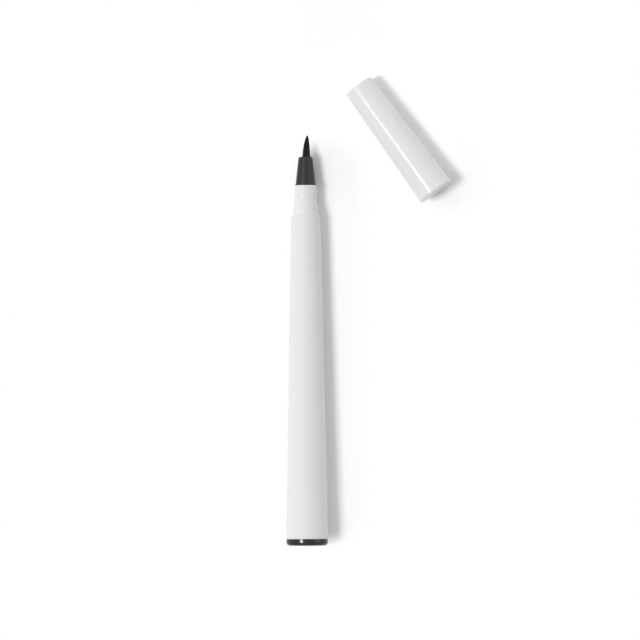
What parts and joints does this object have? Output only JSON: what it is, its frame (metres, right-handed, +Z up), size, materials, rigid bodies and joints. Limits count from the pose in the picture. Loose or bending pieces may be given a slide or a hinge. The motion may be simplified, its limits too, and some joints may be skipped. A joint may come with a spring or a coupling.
{
  "type": "liquid eyeliner pen",
  "caption": "Slim tapered liquid eyeliner pen with a brush nib, ink collector and mixing ball, lying beside its pulled-off cap with a sprung inner cap.",
  "frame": {"origin": "on the surface that the pen and its cap lie on, under the centre of the box around both", "axes": "+Y along the pen towards its brush, +X towards the side where the cap lies, +Z up"},
  "size_m": [0.048, 0.1342, 0.012],
  "materials": {
    "barrel_white": "satin",
    "plug_black": "gloss",
    "neck_white": "gloss",
    "seal_rubber": "matte",
    "cone_grey": "satin",
    "collar_black": "satin",
    "bristle_black": "ink-wet",
    "feed_fibre": "matte",
    "collector_natural": "satin",
    "ball_steel": "polished",
    "cap_white": "gloss",
    "inner_cap_white": "satin",
    "spring_steel": "bright"
  },
  "bodies": {
    "pen": {"barrel": "barrel_white", "tail_plug": "plug_black", "neck": "neck_white", "neck_seal": "seal_rubber", "nose_cone": "cone_grey", "brush_collar": "collar_black", "brush_tuft": "bristle_black", "feed_rod": "feed_fibre", "collector": "collector_natural"},
    "ball": {"mixing_ball": "ball_steel"},
    "cap": {"cap_shell": "cap_white", "inner_cap_spring": "spring_steel"},
    "inner_cap_cup": {"inner_cap": "inner_cap_white"}
  },
  "joints": [
    {"name": "cap_slide", "type": "slide", "parent": "pen", "child": "cap", "axis": [-0.5878, 0.809, 0], "range_m": [0, 0.02295]},
    {"name": "inner_cap_slide", "type": "slide", "parent": "cap", "child": "inner_cap_cup", "axis": [0.5876, -0.8088, 0.0254], "range_m": [0, 0.0026], "stiffness_N_per_m": 400, "springref_m": -0.003, "deforming": ["inner_cap_spring"]},
    {"name": "mixing_ball_slide", "type": "slide", "parent": "pen", "child": "ball", "axis": [0, -1, 0.0006], "range_m": [0, 0.0523]}
  ]
}
